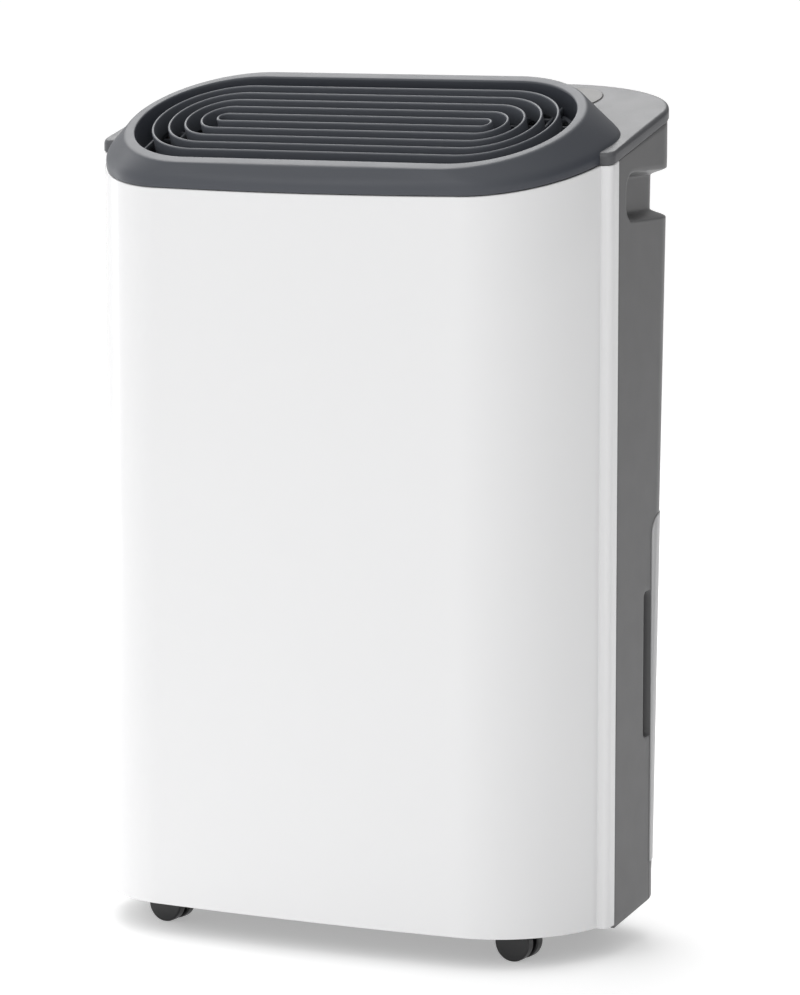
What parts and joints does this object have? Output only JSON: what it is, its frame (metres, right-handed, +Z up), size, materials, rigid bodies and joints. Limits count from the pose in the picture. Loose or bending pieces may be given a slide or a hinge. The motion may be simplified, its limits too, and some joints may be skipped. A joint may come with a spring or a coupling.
{
  "type": "portable dehumidifier",
  "caption": "Compressor dehumidifier on twin-wheel casters: white bowed front, slate top outlet with concentric fins, rear water tank, sloping control deck.",
  "frame": {"origin": "on the floor at the middle of the footprint", "axes": "+Z up, front towards -Y, +X to the right seen from the front"},
  "size_m": [0.3716, 0.2076, 0.5635],
  "materials": {
    "white_gloss_shell": "smooth glossy white moulded plastic",
    "grey_housing": "fine satin mid grey moulded plastic",
    "slate_cap": "satin slate grey moulded plastic",
    "grey_deck": "satin grey moulded plastic",
    "slate_grille": "satin slate grey moulded fins",
    "black_plastic": "black moulded plastic",
    "panel_grey": "fine matt warm grey",
    "smoked_window": "smoked gloss window",
    "lamp_white": "milky lens",
    "circuit_board": "solder mask",
    "filter_net": "fine woven net",
    "white_inner": "natural white inner moulding",
    "zinc_steel": "zinc plated sheet",
    "bright_steel": "bright machined steel",
    "black_enamel": "black enamel on steel",
    "black_rubber": "black rubber",
    "copper": "drawn copper tube",
    "aluminium_can": "drawn aluminium can",
    "tank_grey": "light translucent grey plastic",
    "tank_lid_grey": "grey moulded plastic",
    "float_white": "white foam float",
    "coil_aluminium": "thin coated aluminium fins",
    "button_grey": "soft touch light grey",
    "caster_black": "black nylon",
    "caster_wheel": "black nylon wheel"
  },
  "bodies": {
    "case": {"accumulator": "copper", "base_pan": "black_plastic", "capillary_tube": "copper", "case_screws": "bright_steel", "coil_shroud": "white_inner", "compressor_body": "black_enamel", "compressor_bolts": "bright_steel", "compressor_grommets": "black_rubber", "condenser_fins": "coil_aluminium", "condenser_tube": "copper", "control_board": "circuit_board", "control_box": "zinc_steel", "control_panel": "panel_grey", "discharge_pipe": "copper", "display_window": "smoked_window", "drain_spigot": "grey_housing", "drier": "copper", "drip_tray": "white_inner", "evaporator_fins": "coil_aluminium", "evaporator_tube": "copper", "fan_motor": "zinc_steel", "fan_scroll": "white_inner", "front_shell": "white_gloss_shell", "indicator_lamps": "lamp_white", "level_switch": "black_plastic", "outlet_grille": "slate_grille", "outlet_guard": "slate_grille", "power_gland": "black_rubber", "rear_housing": "grey_housing", "run_capacitor": "aluminium_can", "suction_pipe": "copper", "tank_bay": "white_inner", "top_cap": "slate_cap", "top_deck": "grey_deck"},
    "fan": {"fan_wheel": "black_plastic", "fan_shaft": "bright_steel", "fan_nut": "bright_steel"},
    "tank": {"tank_body": "tank_grey", "tank_lid": "tank_lid_grey"},
    "tank_handle": {"tank_handle": "tank_lid_grey"},
    "tank_float": {"float_arm": "float_white", "float_magnet": "zinc_steel"},
    "inlet_panel": {"inlet_grille": "grey_housing", "filter_frame": "black_plastic", "filter_mesh": "filter_net"},
    "drain_plug": {"drain_plug": "black_rubber"},
    "button_power": {"button_power": "button_grey"},
    "button_mode": {"button_mode": "button_grey"},
    "button_fan": {"button_fan": "button_grey"},
    "button_timer": {"button_timer": "button_grey"},
    "button_humidity_down": {"button_humidity_down": "button_grey"},
    "button_humidity_up": {"button_humidity_up": "button_grey"},
    "caster_front_left": {"caster_fork_front_left": "caster_black"},
    "wheels_front_left": {"caster_wheels_front_left": "caster_wheel"},
    "caster_front_right": {"caster_fork_front_right": "caster_black"},
    "wheels_front_right": {"caster_wheels_front_right": "caster_wheel"},
    "caster_rear_left": {"caster_fork_rear_left": "caster_black"},
    "wheels_rear_left": {"caster_wheels_rear_left": "caster_wheel"},
    "caster_rear_right": {"caster_fork_rear_right": "caster_black"},
    "wheels_rear_right": {"caster_wheels_rear_right": "caster_wheel"}
  },
  "joints": [
    {"name": "fan_spin", "type": "hinge", "parent": "case", "child": "fan", "pos_m": [0, -0.04305, 0.392], "axis": [0, 1, 0], "continuous": true},
    {"name": "tank_pull", "type": "slide", "parent": "case", "child": "tank", "axis": [0, 1, 0], "range_m": [0, 0.13]},
    {"name": "tank_handle_swing", "type": "hinge", "parent": "tank", "child": "tank_handle", "pos_m": [0, 0.07095, 0.246], "axis": [-1, 0, 0], "range_deg": [0, 90]},
    {"name": "float_rise", "type": "hinge", "parent": "tank", "child": "tank_float", "pos_m": [0, 0.08295, 0.226], "axis": [-1, 0, 0], "range_deg": [0, 12]},
    {"name": "inlet_panel_pull", "type": "slide", "parent": "case", "child": "inlet_panel", "axis": [0, 1, 0], "range_m": [0, 0.06]},
    {"name": "drain_plug_pull", "type": "slide", "parent": "case", "child": "drain_plug", "axis": [-1, 0, 0], "range_m": [0, 0.03]},
    {"name": "button_power_press", "type": "slide", "parent": "case", "child": "button_power", "axis": [0, 0.2672, -0.9636], "range_m": [0, 0.0008], "stiffness_N_per_m": 900, "springref_m": -0.0004},
    {"name": "button_mode_press", "type": "slide", "parent": "case", "child": "button_mode", "axis": [0, 0.2672, -0.9636], "range_m": [0, 0.0008], "stiffness_N_per_m": 900, "springref_m": -0.0004},
    {"name": "button_fan_press", "type": "slide", "parent": "case", "child": "button_fan", "axis": [0, 0.2672, -0.9636], "range_m": [0, 0.0008], "stiffness_N_per_m": 900, "springref_m": -0.0004},
    {"name": "button_timer_press", "type": "slide", "parent": "case", "child": "button_timer", "axis": [0, 0.2672, -0.9636], "range_m": [0, 0.0008], "stiffness_N_per_m": 900, "springref_m": -0.0004},
    {"name": "button_humidity_down_press", "type": "slide", "parent": "case", "child": "button_humidity_down", "axis": [0, 0.2672, -0.9636], "range_m": [0, 0.0008], "stiffness_N_per_m": 900, "springref_m": -0.0004},
    {"name": "button_humidity_up_press", "type": "slide", "parent": "case", "child": "button_humidity_up", "axis": [0, 0.2672, -0.9636], "range_m": [0, 0.0008], "stiffness_N_per_m": 900, "springref_m": -0.0004},
    {"name": "caster_front_left_swivel", "type": "hinge", "parent": "case", "child": "caster_front_left", "pos_m": [-0.128, -0.05605, 0.03], "axis": [0, 0, 1], "continuous": true},
    {"name": "wheels_front_left_roll", "type": "hinge", "parent": "caster_front_left", "child": "wheels_front_left", "pos_m": [-0.12352, -0.05644, 0.0125], "axis": [0.0872, 0.9962, 0], "continuous": true},
    {"name": "caster_front_right_swivel", "type": "hinge", "parent": "case", "child": "caster_front_right", "pos_m": [0.128, -0.05605, 0.03], "axis": [0, 0, 1], "continuous": true},
    {"name": "wheels_front_right_roll", "type": "hinge", "parent": "caster_front_right", "child": "wheels_front_right", "pos_m": [0.13248, -0.05644, 0.0125], "axis": [0.0872, 0.9962, 0], "continuous": true},
    {"name": "caster_rear_left_swivel", "type": "hinge", "parent": "case", "child": "caster_rear_left", "pos_m": [-0.128, 0.04495, 0.03], "axis": [0, 0, 1], "continuous": true},
    {"name": "wheels_rear_left_roll", "type": "hinge", "parent": "caster_rear_left", "child": "wheels_rear_left", "pos_m": [-0.12352, 0.04456, 0.0125], "axis": [0.0872, 0.9962, 0], "continuous": true},
    {"name": "caster_rear_right_swivel", "type": "hinge", "parent": "case", "child": "caster_rear_right", "pos_m": [0.128, 0.04495, 0.03], "axis": [0, 0, 1], "continuous": true},
    {"name": "wheels_rear_right_roll", "type": "hinge", "parent": "caster_rear_right", "child": "wheels_rear_right", "pos_m": [0.13248, 0.04456, 0.0125], "axis": [0.0872, 0.9962, 0], "continuous": true}
  ]
}
